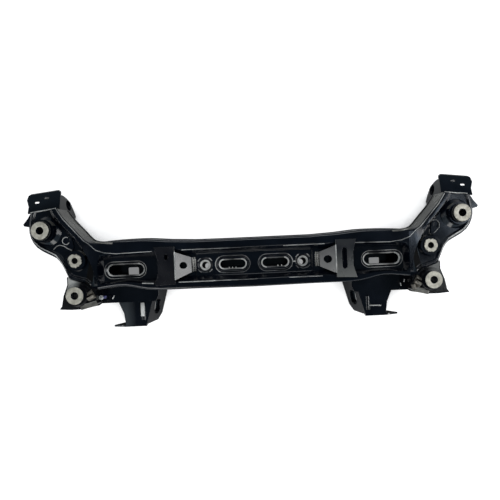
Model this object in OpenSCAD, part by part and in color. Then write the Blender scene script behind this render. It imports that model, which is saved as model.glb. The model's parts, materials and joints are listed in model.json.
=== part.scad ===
// Suspension subframe: a pressed box beam with two swept arms, welded brackets and mount sleeves.
// The part lies with its mount faces up. X runs across it, +Y is the front, and Z = 0 is the
// level of the four bracket feet. The left half mirrors the right one.

/* [Overall] */
// Height of the beam's ridges above the feet
ridge_z = 125; // [115:1:140]
// Depth of the upper pressings, from the ridges to the weld flanges
box_h = 60; // [54:1:66]
// Depth of the lower pressings below the weld flanges
trough_h = 18; // [12:1:22]
// Thickness of the pressed shells
shell_t = 3; // [2.4:0.1:3.6]
// Thickness of the bracket plates
plate_t = 4; // [3:0.1:5]
// Gap left at a welded seat
seat_gap = 0.2; // [0.1:0.05:0.3]

/* [Beam] */
// Half length of the beam, from the middle to the seam with an arm
beam_half = 368; // [360:1:384]
// Width of the beam at the middle
beam_w = 115; // [108:1:122]
// Depth of the channel at the middle
channel_h = 18; // [14:1:20]
// Drop of the channel floor outboard of the step
step_h = 4; // [2:0.5:6]
// Distance of that step from the middle
step_x = 139; // [137:1:146]
// Bend radius of the pressed edges
edge_r = 6; // [4:0.5:7]
// Width of the weld lip of the lower pressings
lip_w = 2; // [1:0.5:4]
// Slant of the beam's walls, from flange to ridge
beam_draft = 2; // [1:0.5:3]
// Slant of the arms' inner walls, from flange to ridge
arm_draft = 2; // [1:0.5:4]

/* [Dished openings] */
// Distance of the round holes from the middle
round_x = 117; // [113:1:118]
// Radius of the round holes
round_r = 9; // [7:0.5:10]
// Radius of the dish round a round hole
round_dish_r = 18; // [17:0.5:18.5]
// Distance of the oblong slots from the middle
slot_x = 51; // [48:1:54]
// Straight length of the oblong slots
slot_len = 42; // [34:1:44]
// Half width of the oblong slots
slot_r = 10.5; // [8:0.5:12]
// Half width of the dish round an oblong slot
slot_dish_r = 21; // [20:0.5:22]
// Distance of the end slots from the arm seams
end_slot_seam = 60; // [60:1:66]
// Straight length of the end slots
end_slot_len = 60; // [50:1:60]
// Half width of the end slots
end_slot_r = 13; // [11:0.5:13]
// Half width of the dish round an end slot
end_dish_r = 20.5; // [19.5:0.5:20.5]
// Depth of the dishes
dish_h = 5; // [4:0.5:6]
// Bend radius of the rolled hole edges
roll_r = 3; // [2:0.5:3.5]
// Centre line of the openings
slot_y = -5; // [-7:1:-3]
// Centre line of the end slots
end_slot_y = -8; // [-9:0.5:-6]

/* [Mount sleeves] */
// Bore of the body mount sleeves
mount_bore = 17; // [14:0.5:19]
// Outer diameter of the body mount sleeves
mount_od = 41; // [36:0.5:43]
// Height of the front mount faces above the ridges
front_proud = 15; // [8:1:18]
// Height of the rear mount faces above the ridges
rear_proud = 5; // [2:1:10]
// Bore of the brace sleeves
brace_bore = 13.5; // [11:0.5:16]
// Outer diameter of the brace sleeves
brace_od = 34; // [30:0.5:36]
// Depth of the brace sleeve faces below the ridges
brace_sunk = 7; // [4:1:9]
// Foot radius of the drawn boss round a front mount
front_boss_r = 37; // [34:0.5:38]
// Foot radius of the drawn boss round a brace sleeve
brace_boss_r = 26; // [24:0.5:27]
// Foot radius of the collar round a rear mount
rear_boss_r = 30; // [28:0.5:31]
// Front mount, outboard of the arm seam
front_x = 122; // [120:1:124]
// Front mount, ahead of the beam's centre line
front_y = 92; // [90:1:94]
// Brace sleeve, outboard of the arm seam
brace_x = 54; // [52:1:56]
// Brace sleeve, ahead of the beam's centre line
brace_y = 19; // [17:1:21]
// Rear mount, outboard of the arm seam
rear_x = 53; // [51:1:55]
// Rear mount, behind the beam's centre line
rear_y = 62.5; // [61:0.5:64]

/* [Saddles] */
// Inner edge of the saddles, from the middle
saddle_x = 189; // [186:1:196]
// Length of the saddles along the beam
saddle_len = 48; // [44:1:52]
// End of the saddles' tongues, from the middle
tongue_end = 153; // [150:1:156]
// Hole in the tongues, from the middle
tongue_hole_x = 171; // [168:1:174]
// Radius of the right tongue's hole
right_tongue_hole_r = 9; // [6:0.5:10]
// Radius of the left tongue's hole
left_tongue_hole_r = 8; // [6:0.5:10]
// Straight length of the window in the right saddle
saddle_slot_len = 38; // [30:1:44]
// Half width of the window in the right saddle
saddle_slot_r = 6; // [4:0.5:8]
// Half width of the hole in the left saddle
saddle_hole_r = 4.5; // [3:0.5:6]

/* [Link brackets] */
// Bore of the link bolt holes
link_bore = 13; // [11:0.5:15]
// Height of the link bolts above the feet
link_z = 30; // [26:1:36]
// Rear link bolt, inboard of the arm seam
rear_link_x = 46; // [43:1:49]
// Front link bolt, outboard of the middle of the arm's end
front_link_p = 26; // [23:1:29]
// Rear end plate, behind the beam's centre line
rear_end_y = 148; // [144:1:154]
// Inner link wall of the rear rail, behind the beam's centre line
rear_wall_y = 90; // [88:1:94]
// Lean of the rear brackets' inner side plates, in degrees
side_lean = 22; // [12:1:24]
// Reach of the front brackets from the arm ends
front_reach = 52; // [48:1:58]
// Fall of the front brackets' top plates
front_fall = 20; // [14:1:26]
// Radius of the hole in the front brackets' side plates
front_window_r = 13; // [9:0.5:14]
// Half width of the oblong in the rear brackets' side plates
rear_window_r = 12; // [8:0.5:13]

/* [Hidden] */
$fn = 64;

paint = [0.05, 0.055, 0.065];
bare = [0.66, 0.64, 0.6];
clip_grey = [0.4, 0.4, 0.38];

// Levels of the weld flanges, the arm floors, the rail ledge and the lower trough
flange_z = ridge_z - box_h;
arm_floor_h = 20;
arm_floor_z = ridge_z - arm_floor_h;
arm_rim_drop = 6;
arm_lip_h = 4;
rail_z = flange_z - shell_t;
bracket_z = rail_z - plate_t;
sleeve_foot = flange_z - trough_h - shell_t - 3;
// Width of the rail that laps under the weld flanges, and that shows round the rear mount
rail_lap = 7;
rail_rim = 2;

// Half widths of the beam beyond beam_w / 2, by distance from the arm seam
rear_edge = [[0, -4.5], [27, -8], [63, -10], [118, 1], [168, 3], [228, 3.2], [288, 4], [400, 5]];
front_edge = [[0, 4], [27, 6], [63, 7.5], [118, 7.5], [168, 3], [228, 0], [400, -0.5]];
// Widths of the two ridges and of the channel's slopes, by distance from the arm seam
rear_crest = [[0, 22], [5, 14], [11, 11], [27, 10.5], [63, 10.5], [118, 15], [168, 19], [400, 20]];
rear_slope = [[0, 6.5], [63, 6.5], [118, 12], [168, 13], [400, 13]];
front_crest = [[0, 44], [5, 36], [11, 33], [27, 32], [118, 31], [168, 25], [228, 22], [400, 21.5]];
front_slope = [[0, 13], [400, 13]];

// Edges of an arm from the seam to its end, in station order
arm_outer = [[0, [0, -53]], [1, [18, -51]], [2, [36, -36]], [3, [69.5, -25.5]], [4, [80, -9]],
    [5, [89, 10]], [6, [101.5, 26.5]], [7, [123.5, 38.5]], [8, [146, 53.5]], [9, [160, 76.5]],
    [10, [163.5, 104]], [11, [157, 136]]];
arm_inner = [[0, [0, 61.5]], [1, [6, 62]], [2, [13, 63]], [3, [22, 66]], [4, [30.5, 73]],
    [5, [38.5, 82]], [6, [47.5, 92.5]], [7, [57.5, 103.5]], [8, [67, 114]], [9, [75.5, 125]],
    [10, [82.5, 135.5]], [11, [88, 144]]];
arm_outer_crest = [[0, 10], [2, 8], [11, 8]];
arm_outer_slope = [[0, 8], [2, 5], [11, 5]];
arm_inner_crest = [[0, 90], [1, 58], [2, 36], [3, 22], [4, 17], [5, 15], [11, 15]];
arm_inner_slope = [[0, 6], [1, 10], [11, 10]];
arm_depth = [[0, 0.05], [1, 0.75], [2, 1], [11, 1]];
arm_drop = [[0, 0], [2, 0.2], [4, 0.8], [6, 1], [11, 1]];
arm_end_trough = 0.05;
arm_trough = [[0, 1], [7, 1], [9, arm_end_trough], [11, arm_end_trough]];
arm_stations = [0, 0.3, 0.6, for (k = [1:0.5:11]) k];

// Frame of the front bracket: the middle and the direction of the arm's end
arm_end_out = arm_outer[11][1];
arm_end_in = arm_inner[11][1];
arm_end_mid = (arm_end_out + arm_end_in) / 2;
arm_end_angle = atan2(arm_end_out.y - arm_end_in.y, arm_end_out.x - arm_end_in.x);

// The part's origin lies midway between its front and rear edges
front_corner_p = -24;
front_most_y = arm_end_mid.y + front_corner_p * sin(arm_end_angle) + front_reach * cos(arm_end_angle);
origin_y = (front_most_y - rear_end_y - plate_t) / 2;

// Cubic curve through the values of a table of [place, value] rows
function row(t, u) = max([0, for (i = [0:len(t) - 2]) if (u >= t[i][0]) i]);
function grade(t, i) =
    let (a = max(i - 1, 0), b = min(i + 1, len(t) - 1))
    (t[b][1] - t[a][1]) / (t[b][0] - t[a][0]);
function curve(t, u) =
    let (i = row(t, u), w = t[i + 1][0] - t[i][0], s = (u - t[i][0]) / w)
    t[i][1] * (1 + 2 * s) * pow(1 - s, 2) + grade(t, i) * w * s * pow(1 - s, 2)
    + t[i + 1][1] * s * s * (3 - 2 * s) + grade(t, i + 1) * w * s * s * (s - 1);

// Unit vector to the right of a step, and a path moved to its right by a distance
function right_of(a, b) = [b.y - a.y, a.x - b.x] / norm(b - a);
function moved(path, d) = [for (i = [0:len(path) - 1])
    let (
        n0 = right_of(path[max(i - 1, 0)], path[max(i, 1)]),
        n1 = right_of(path[min(i, len(path) - 2)], path[min(i + 1, len(path) - 1)]))
    path[i] + d * (n0 + n1) / (1 + n0 * n1)];

// One side of a pressed section, from the flange over the ridge to the floor, as [inset, z]
function half_section(draft, crest, slope, crest_z, floor_z) = concat(
    [[0, flange_z], [0, flange_z + shell_t]],
    [for (a = [0:30:90]) [draft + edge_r * (1 - cos(a)), crest_z - edge_r * (1 - sin(a))]],
    [for (f = [0, 0.2, 0.5, 0.8, 1])
        [crest + slope * f, crest_z - (crest_z - floor_z) * f * f * (3 - 2 * f)]]);
// One side of a trough section, from the lip down to its floor
function half_trough(depth) = [[-lip_w, flange_z], [9, flange_z], [11, flange_z - depth * 0.1],
    [16, flange_z - depth * 0.9], [18, flange_z - depth]];
function mirrored(path, span) = [for (i = [len(path) - 1:-1:0]) [span - path[i].x, path[i].y]];

// Closed ring of a sheet section that stands on the line from point a to point b
function ring(a, b, path) =
    let (d = (b - a) / norm(b - a), under = moved(path, shell_t), n = len(path))
    concat(
        [for (p = path) [a.x + d.x * p.x, a.y + d.y * p.x, p.y]],
        [for (i = [n - 1:-1:0]) [a.x + d.x * under[i].x, a.y + d.y * under[i].x, under[i].y]]);

// Solid through a row of rings, closed by strips between the sheet's two faces
module loft(rings) {
    m = len(rings[0]);
    last = (len(rings) - 1) * m;
    sides = [for (j = [0:len(rings) - 2]) for (i = [0:m - 1])
        let (a = j * m + i, b = j * m + (i + 1) % m)
        each [[a, b, b + m], [a, b + m, a + m]]];
    caps = [for (i = [0:m / 2 - 2])
        let (k = m - 1 - i)
        each [[i, k - 1, i + 1], [i, k, k - 1],
            [last + i, last + i + 1, last + k - 1], [last + i, last + k - 1, last + k]]];
    polyhedron([for (r = rings) each r], concat(sides, caps));
}

// Places, sections and stations of the beam; x is counted from the middle
function seam(x) = beam_half - abs(x);
function beam_rear(x) = [x, -beam_w / 2 - curve(rear_edge, seam(x))];
function beam_front(x) = [x, beam_w / 2 + curve(front_edge, seam(x))];
step_run = 2;
function beam_floor(x) = ridge_z - lookup(abs(x), [
    [step_x - step_run, channel_h], [step_x + step_run, channel_h + step_h],
    [beam_half - 9, channel_h + step_h], [beam_half - 1, 0.5]]);
function beam_upper_ring(x) =
    let (a = beam_rear(x), b = beam_front(x), s = seam(x))
    ring(a, b, concat(
        half_section(beam_draft, lookup(s, rear_crest), lookup(s, rear_slope), ridge_z,
            beam_floor(x)),
        mirrored(half_section(beam_draft, lookup(s, front_crest), lookup(s, front_slope), ridge_z,
            beam_floor(x)), norm(b - a))));
function beam_lower_ring(x) =
    let (a = beam_rear(x), b = beam_front(x))
    ring(a, b, concat(half_trough(trough_h), mirrored(half_trough(trough_h), norm(b - a))));
half_stations = concat([0, 70, step_x - step_run, step_x + step_run],
    [for (s = [168, 145, 118, 98, 80, 63, 46, 32, 20, 9, 7, 5, 3, 1, 0]) beam_half - s]);
beam_stations = concat(
    [for (i = [len(half_stations) - 1:-1:1]) -half_stations[i]], half_stations);

// Sections of an arm
function arm_ring(k) =
    let (a = curve(arm_outer, k), b = curve(arm_inner, k),
        floor_z = ridge_z - arm_floor_h * lookup(k, arm_depth),
        lip_z = floor_z + arm_lip_h * lookup(k, arm_depth),
        crest_z = max(ridge_z - arm_rim_drop * lookup(k, arm_drop), lip_z))
    ring(a, b, concat(
        half_section(0, lookup(k, arm_outer_crest), lookup(k, arm_outer_slope), lip_z, floor_z),
        mirrored(half_section(beam_draft + (arm_draft - beam_draft) * lookup(k, arm_depth),
            lookup(k, arm_inner_crest), lookup(k, arm_inner_slope), crest_z, floor_z),
            norm(b - a))));
function arm_lower_ring(k) =
    let (a = curve(arm_outer, k), b = curve(arm_inner, k),
        half = half_trough(trough_h * lookup(k, arm_trough)))
    ring(a, b, concat(half, mirrored(half, norm(b - a))));

// Plan of an arm, and of the beam's outer half
module arm_plan() {
    polygon(concat([for (k = arm_stations) curve(arm_outer, k)],
        [for (i = [len(arm_stations) - 1:-1:0]) curve(arm_inner, arm_stations[i])]));
}
module beam_plan() {
    xs = [for (s = [0:20:200]) beam_half - s];
    polygon(concat([for (x = xs) beam_rear(x)],
        [for (i = [len(xs) - 1:-1:0]) beam_front(xs[i])]));
}

// Moves a child from the arm's own frame, which starts at the seam, to the beam's
module at_seam() {
    translate([beam_half, 0, 0]) children();
}
module on_right() {
    translate([0, -origin_y, 0]) children();
}
module on_left() {
    mirror([1, 0, 0]) on_right() children();
}

// Flat shape with round ends along X
module oblong(straight, r) {
    if (straight > 0) translate([-straight / 2, -r]) square([straight, 2 * r]);
    for (s = [-1, 1]) translate([s * straight / 2, 0]) circle(r);
}

// Pressed dish with a smooth flank and a rolled hole: its section is swept round an oblong
module dish_section(outer, inner, depth) {
    rim = 1;
    tuck = shell_t * 0.25;
    fall = depth * 1.1;
    polygon(concat(
        [[outer + tuck, -tuck]],
        [for (t = [0.2:0.2:1]) [outer - fall * t, -tuck - (depth - tuck) * (1 - cos(180 * t)) / 2]],
        [for (a = [0:30:90]) [inner + roll_r * (1 - sin(a)), -depth - roll_r * (1 - cos(a))]],
        [[inner, -depth - rim - shell_t], [inner + shell_t, -depth - rim - shell_t],
            [inner + shell_t, -depth - shell_t], [outer - fall - tuck, -depth - shell_t],
            [outer + tuck, tuck - shell_t]]));
}
module dish(straight, outer, inner, depth) {
    for (s = [0, 180]) rotate([0, 0, s]) {
        translate([straight / 2, 0, 0])
            rotate([0, 0, -90]) rotate_extrude(angle = 180) dish_section(outer, inner, depth);
        if (straight > 0)
            translate([-straight / 2, 0, 0]) rotate([90, 0, 90])
                linear_extrude(straight) dish_section(outer, inner, depth);
    }
}
// Places of the openings along the beam's right half, as [x, y, straight, dish, hole]
openings = [[slot_x, slot_y, slot_len, slot_dish_r, slot_r],
    [round_x, slot_y, 0, round_dish_r, round_r],
    [beam_half - end_slot_seam, end_slot_y, end_slot_len, end_dish_r, end_slot_r]];

module beam_upper_shell() {
    color(paint) {
        difference() {
            loft([for (x = beam_stations) beam_upper_ring(x)]);
            for (o = openings) for (s = [-1, 1])
                translate([s * o[0], o[1], flange_z])
                    linear_extrude(box_h) oblong(o[2], o[3]);
        }
        for (o = openings) for (s = [-1, 1])
            translate([s * o[0], o[1], beam_floor(o[0])]) dish(o[2], o[3], o[4], dish_h);
    }
}

module beam_lower_shell() {
    access_w = 26;
    access_h = 20;
    color(paint) difference() {
        loft([for (x = beam_stations) beam_lower_ring(x)]);
        for (s = [-1, 1]) {
            translate([s * (beam_half - 70), slot_y - 9, 0]) linear_extrude(ridge_z)
                offset(3) square([access_w - 6, access_h - 6], center = true);
            translate([s * round_x, slot_y - 4, 0]) cylinder(r = round_r - 2, h = ridge_z);
        }
    }
}

// Drawn boss round a sleeve: a flared foot under a steep collar, hollow below
flare_h = 8;
collar_w = 6;
module boss(od, foot_r, top_z) {
    base_z = arm_floor_z - shell_t / 2;
    waist_z = arm_floor_z + flare_h;
    translate([0, 0, base_z]) cylinder(r1 = foot_r, r2 = od / 2 + collar_w + 1, h = waist_z - base_z);
    translate([0, 0, waist_z])
        cylinder(r1 = od / 2 + collar_w + 1, r2 = od / 2 + collar_w, h = top_z - waist_z);
}
module boss_hollow(od, foot_r, top_z) {
    base_z = arm_floor_z - 2 * shell_t;
    waist_z = arm_floor_z + flare_h - shell_t;
    inner_r = od / 2 + collar_w - shell_t;
    translate([0, 0, base_z]) cylinder(r1 = foot_r - shell_t, r2 = inner_r, h = waist_z - base_z);
    translate([0, 0, waist_z - 1]) cylinder(r = inner_r, h = top_z - waist_z + 1 - shell_t);
    cylinder(d = od + 2 * seat_gap, h = 2 * ridge_z);
}
// Oval pad pressed up beside the inner ridge, with a round dimple at its front end
pad_at = [71.5, 60.5];
pad_angle = 80;
pad_len = 17;
pad_r = 11.5;
pad_h = 3;
dimple_r = 7;
module pad() {
    translate([pad_at.x, pad_at.y, arm_floor_z - shell_t / 2]) rotate([0, 0, pad_angle]) difference() {
        linear_extrude(pad_h + shell_t / 2) oblong(pad_len, pad_r);
        translate([pad_len / 2, 0, shell_t / 2 + 0.6]) cylinder(r1 = dimple_r - 2, r2 = dimple_r, h = pad_h);
    }
}
boss_clear = 13;
front_boss_z = ridge_z + front_proud - boss_clear;
brace_boss_z = ridge_z - brace_sunk - 3.5;
rear_mount_z = ridge_z - 17;

module arm_shell() {
    color(paint) at_seam() difference() {
        union() {
            loft([for (k = arm_stations) arm_ring(k)]);
            translate([front_x, front_y, 0]) boss(mount_od, front_boss_r, front_boss_z);
            translate([brace_x, brace_y, 0]) boss(brace_od, brace_boss_r, brace_boss_z);
            pad();
        }
        translate([front_x, front_y, 0]) boss_hollow(mount_od, front_boss_r, front_boss_z);
        translate([brace_x, brace_y, 0]) boss_hollow(brace_od, brace_boss_r, brace_boss_z);
    }
}

module arm_lower() {
    color(paint) at_seam() difference() {
        loft([for (k = arm_stations) arm_lower_ring(k)]);
        translate([front_x, front_y, 0]) cylinder(d = mount_od + 2 * seat_gap, h = ridge_z);
        translate([brace_x, brace_y, 0]) cylinder(d = brace_od + 2 * seat_gap, h = ridge_z);
    }
}

// Thick sleeve with a chamfered bore and a bare, turned end face
module sleeve(od, bore, foot_z, top_z) {
    c = 1.2;
    color(bare) rotate_extrude() polygon([
        [bore / 2, foot_z + c], [bore / 2 + c, foot_z], [od / 2 - c, foot_z], [od / 2, foot_z + c],
        [od / 2, top_z - c], [od / 2 - c, top_z], [bore / 2 + c, top_z], [bore / 2, top_z - c]]);
}
module front_sleeve() {
    at_seam() translate([front_x, front_y, 0])
        sleeve(mount_od, mount_bore, sleeve_foot, ridge_z + front_proud);
}
module brace_sleeve() {
    at_seam() translate([brace_x, brace_y, 0])
        sleeve(brace_od, brace_bore, sleeve_foot, ridge_z - brace_sunk);
}
module rear_sleeve() {
    at_seam() translate([rear_x, -rear_y, 0])
        sleeve(mount_od, mount_bore, bracket_z - 3, ridge_z + rear_proud);
}

// Plan of the rear mount, and of the ledge that carries it and the rear bracket
module rear_mount_plan() {
    offset(1.5) offset(-1.5) difference() {
        polygon([[10, -40], [78, -8], [78, -38], [88, -64], [92.5, -88], [98.5, -95.5], [70, -97.5],
            [45, -97], [22, -93], [10, -85]]);
        offset(delta = seat_gap) arm_plan();
    }
}
module rear_rail_plan() {
    difference() {
        union() {
            offset(rail_rim) rear_mount_plan();
            offset(6) offset(-6)
                polygon([[-127, -40], [-127, -76], [-119, -rear_wall_y], [20, -rear_wall_y],
                    [24, -60], [16, -40]]);
        }
        offset(delta = -rail_lap) union() {
            arm_plan();
            translate([-beam_half, 0]) beam_plan();
        }
    }
}

module rear_mount() {
    color(paint) at_seam() difference() {
        union() {
            translate([0, 0, rail_z]) linear_extrude(rear_mount_z - rail_z) rear_mount_plan();
            translate([rear_x, -rear_y, rear_mount_z - 1])
                cylinder(r1 = rear_boss_r, r2 = mount_od / 2 + 4, h = 11);
        }
        translate([0, 0, rail_z - 1]) linear_extrude(rear_mount_z - rail_z + 1 - shell_t)
            offset(delta = -shell_t) rear_mount_plan();
        translate([0, 0, rail_z - 1]) linear_extrude(shell_t + 1 + seat_gap)
            offset(delta = lip_w + seat_gap) arm_plan();
        translate([rear_x, -rear_y, 0]) cylinder(d = mount_od + 2 * seat_gap, h = 2 * ridge_z);
    }
}

link_x = -rear_link_x;
module link_bore_along_y(x, y0, y1) {
    translate([x, y1, link_z]) rotate([90, 0, 0]) cylinder(d = link_bore, h = y1 - y0);
}

module rear_rail() {
    color(paint) at_seam() difference() {
        translate([0, 0, bracket_z]) linear_extrude(plate_t) rear_rail_plan();
        translate([rear_x, -rear_y, 0]) cylinder(d = mount_od + 2 * seat_gap, h = ridge_z);
    }
}

// Upper edge of a rear bracket's inner side plate
side_top_a = [-119, -56];
side_top_b = [-94, -rear_end_y];
// Half round bead pressed up along the rear bracket's top plate
bead_r = 6;
bead_h = 3;
bead_x = -87;
module bracket_bead() {
    bead_len = rear_end_y - rear_wall_y - 24;
    intersection() {
        translate([bead_x, 12 - rear_end_y, bracket_z - bead_r + bead_h]) rotate([-90, 0, 0])
            cylinder(r = bead_r, h = bead_len);
        translate([bead_x - bead_r, -rear_end_y, bracket_z - 1])
            cube([2 * bead_r, rear_end_y - rear_wall_y, 2 * bead_h]);
    }
}
module rear_bracket() {
    color(paint) at_seam() difference() {
        union() {
            translate([0, 0, bracket_z - plate_t]) linear_extrude(plate_t)
                polygon([side_top_a, [-26, side_top_a.y], [-27, -92], [-38, -118], [-42, -rear_end_y],
                    side_top_b]);
            translate([0, -rear_end_y, 0]) rotate([90, 0, 0]) linear_extrude(plate_t)
                polygon([[-86, 0], [link_x - 8, 0], [link_x + 22, 10], [-9, 40], [-9, 46],
                    [-30, bracket_z - 4], [-42, bracket_z], [side_top_b.x, bracket_z]]);
            translate([0, -rear_wall_y + plate_t, 0]) rotate([90, 0, 0]) linear_extrude(plate_t)
                polygon([[link_x - 24, 6], [link_x + 12, 6], [link_x + 20, 14], [-26, 40],
                    [-26, bracket_z], [link_x - 24, bracket_z]]);
            bracket_bead();
        }
        link_bore_along_y(link_x, -rear_end_y - plate_t - 1, -rear_wall_y + plate_t + 1);
    }
}

module rear_side_plate() {
    along = side_top_b - side_top_a;
    run = norm(along) - 1;
    top_z = bracket_z - plate_t - seat_gap;
    deep = (top_z - plate_t * sin(side_lean)) / cos(side_lean);
    color(paint) at_seam() translate([side_top_a.x, side_top_a.y, top_z])
        rotate([0, 0, atan2(along.y, along.x)])
        rotate([-90 - side_lean, 0, 0]) linear_extrude(plate_t)
        difference() {
            polygon([[0, 0], [run, 0], [run, 8], [run - 8, deep - 12], [run - 26, deep],
                [8, deep], [0, deep - 8]]);
            translate([run * 0.53, deep * 0.5]) rotate(12) oblong(16, rear_window_r);
        }
}

// Section of the front bracket: under the arm floor, down a shallow slope and down the end wall
function front_path() = concat(
    [[-12, 0], [4, 0]],
    [for (a = [0:15:90])
        let (r = 9, lean = atan(front_fall / (front_reach - 4)))
        if (a >= lean) [front_reach - r + r * sin(a), -front_fall - r + r * cos(a)]]);
front_top_z = arm_floor_z - shell_t;
module at_arm_end() {
    translate([arm_end_mid.x, arm_end_mid.y, 0]) rotate([0, 0, arm_end_angle]) children();
}
module front_section() {
    upper = concat(front_path(), [[front_reach, -front_top_z]]);
    polygon(concat(upper, [for (p = mirrored(moved(upper, plate_t), 0)) [-p.x, p.y]]));
}
module front_plan() {
    polygon([[-28, -12], [28, -12], [28, 0.3], [44, 0.3], [43, 18], [49, 36], [46, front_reach - 5],
        [38, front_reach + 1], [front_corner_p, front_reach + 1], [-33, front_reach - 8], [-33, 0.3],
        [-28, 0.3]]);
}

module front_bracket() {
    color(paint) at_seam() at_arm_end() difference() {
        translate([0, 0, front_top_z]) intersection() {
            translate([-60, 0, 0]) rotate([90, 0, 90]) linear_extrude(120) front_section();
            translate([0, 0, -ridge_z]) linear_extrude(2 * ridge_z) front_plan();
            rotate([90, 0, 0]) translate([0, 0, -front_reach - 2]) linear_extrude(front_reach + 20)
                polygon([[-60, 4], [60, 4], [60, -40], [44, -front_top_z], [10, -front_top_z],
                    [-24, -36], [-60, -30]]);
        }
        for (h = [[1, 34], [24, 26]]) translate([h.x, h.y, flange_z])
            rotate([0, 0, 7]) linear_extrude(ridge_z) oblong(8, 2.2);
        translate([front_link_p, front_reach + 1, link_z]) rotate([90, 0, 0])
            cylinder(d = link_bore, h = 2 * plate_t);
    }
}

// Inner side plate of a front bracket, with a flange turned outboard along its lower edge
module front_side_plate() {
    under = moved(front_path(), plate_t + seat_gap);
    far = front_reach - 15;
    far_z = under[1].y + (under[2].y - under[1].y) * (far - under[1].x) / (under[2].x - under[1].x);
    foot = [[24, -67], [4, -81], [-11, -88]];
    back_z = rail_z - trough_h * arm_end_trough - seat_gap - front_top_z;
    flange_len = 34;
    color(paint) at_seam() at_arm_end() translate([-33, 0, front_top_z]) rotate([90, 0, 90]) {
        linear_extrude(plate_t) difference() {
            polygon(concat([[0.3, under[1].y], under[1], [far, far_z], [far, -30], [33, -46]], foot,
                [[-17, -84], [-17, back_z], [0.3, back_z]]));
            translate([14, -53]) circle(front_window_r);
        }
        linear_extrude(flange_len)
            polygon(concat(foot, [for (i = [2:-1:0]) foot[i] + [0, plate_t]]));
    }
}

module front_ear() {
    top_z = rail_z - trough_h * arm_end_trough - seat_gap;
    color(paint) at_seam() at_arm_end() translate([0, -14, 0]) rotate([90, 0, 0])
        linear_extrude(plate_t) difference() {
            polygon([[front_link_p - 20, top_z], [front_link_p + 8, top_z],
                [front_link_p + 16, 24], [front_link_p + 8, 12], [front_link_p - 10, 12],
                [front_link_p - 20, 24]]);
            translate([front_link_p, link_z]) circle(d = link_bore);
        }
}

// Folded saddle: a waisted plate across the ridges and a tongue down to the channel floor;
// the windows are given as [y, straight length, half width]
right_window = [-2, saddle_slot_len, saddle_slot_r];
left_window = [18, saddle_hole_r, saddle_hole_r];
module saddle(hole_r, window) {
    drop = channel_h + step_h - seat_gap;
    color(paint) difference() {
        intersection() {
            translate([0, 60, ridge_z]) rotate([90, 0, 0]) linear_extrude(120)
                polygon([[tongue_end, -drop], [saddle_x, 0], [260, 0], [260, plate_t],
                    [saddle_x - 1.2, plate_t], [tongue_end, plate_t * 1.15 - drop]]);
            linear_extrude(2 * ridge_z) union() {
                polygon([[saddle_x, -46], [saddle_x + saddle_len, -48], [saddle_x + 40, -20],
                    [saddle_x + 40, 12], [saddle_x + saddle_len, 42], [saddle_x, 42]]);
                polygon([[tongue_end - 5, -18], [saddle_x - 1, -36], [saddle_x + 1, -36],
                    [saddle_x + 1, 29], [saddle_x - 1, 29], [tongue_end - 5, 13]]);
            }
        }
        translate([saddle_x + 20, window[0], ridge_z - 1]) linear_extrude(plate_t + 2)
            rotate(90) oblong(window[1], window[2]);
        translate([tongue_hole_x, -3, ridge_z / 2]) cylinder(r = hole_r, h = ridge_z);
    }
}

module side_tab() {
    color(paint) at_seam() translate([0, 0, arm_floor_z - 12]) linear_extrude(shell_t)
        difference() {
            offset(1) offset(-1) polygon([[150, 140], [162, 137], [166.5, 132], [170, 125.5], [177, 117],
                [182, 111], [179.5, 106.5], [172, 105], [150, 100]]);
            offset(delta = seat_gap) arm_plan();
        }
}

module line_clip() {
    color(clip_grey) at_seam() translate([15, -72, rear_mount_z]) {
        linear_extrude(2) offset(2) square([5, 12]);
        translate([2, -2, 0]) cube([2, 16, 14]);
    }
}

on_right() beam_upper_shell();
on_right() beam_lower_shell();
on_right() arm_shell();  // right_arm_shell
on_left() arm_shell();  // left_arm_shell
on_right() arm_lower();  // right_arm_lower
on_left() arm_lower();  // left_arm_lower
on_right() front_sleeve();  // right_front_sleeve
on_left() front_sleeve();  // left_front_sleeve
on_right() brace_sleeve();  // right_brace_sleeve
on_left() brace_sleeve();  // left_brace_sleeve
on_right() rear_sleeve();  // right_rear_sleeve
on_left() rear_sleeve();  // left_rear_sleeve
on_right() rear_mount();  // right_rear_mount
on_left() rear_mount();  // left_rear_mount
on_right() rear_rail();  // right_rear_rail
on_left() rear_rail();  // left_rear_rail
on_right() rear_bracket();  // right_rear_bracket
on_left() rear_bracket();  // left_rear_bracket
on_right() rear_side_plate();  // right_rear_side_plate
on_left() rear_side_plate();  // left_rear_side_plate
on_right() front_bracket();  // right_front_bracket
on_left() front_bracket();  // left_front_bracket
on_right() front_side_plate();  // right_front_side_plate
on_left() front_side_plate();  // left_front_side_plate
on_right() front_ear();  // right_front_ear
on_left() front_ear();  // left_front_ear
on_right() saddle(right_tongue_hole_r, right_window);  // right_saddle
on_left() saddle(left_tongue_hole_r, left_window);  // left_saddle
on_right() side_tab();  // right_side_tab
on_left() side_tab();  // left_side_tab
on_right() line_clip();  // right_line_clip
on_left() line_clip();  // left_line_clip
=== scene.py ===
# %% [markdown]
# # A suspension subframe in gloss black paint
#
# The real part is a welded steel pressing: a channelled box beam with a swept arm at each end, bare
# turned sleeves where it bolts to a car's body, and folded brackets that hold the suspension links.
# The solids come in as a fixed frame, in metres. This lesson rounds and smooths the pressings, adds the
# weld beads and small fittings, and gives every surface its finish.

# %% Load the solids
import json
import math

import bpy
from mathutils import Matrix, Vector

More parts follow.
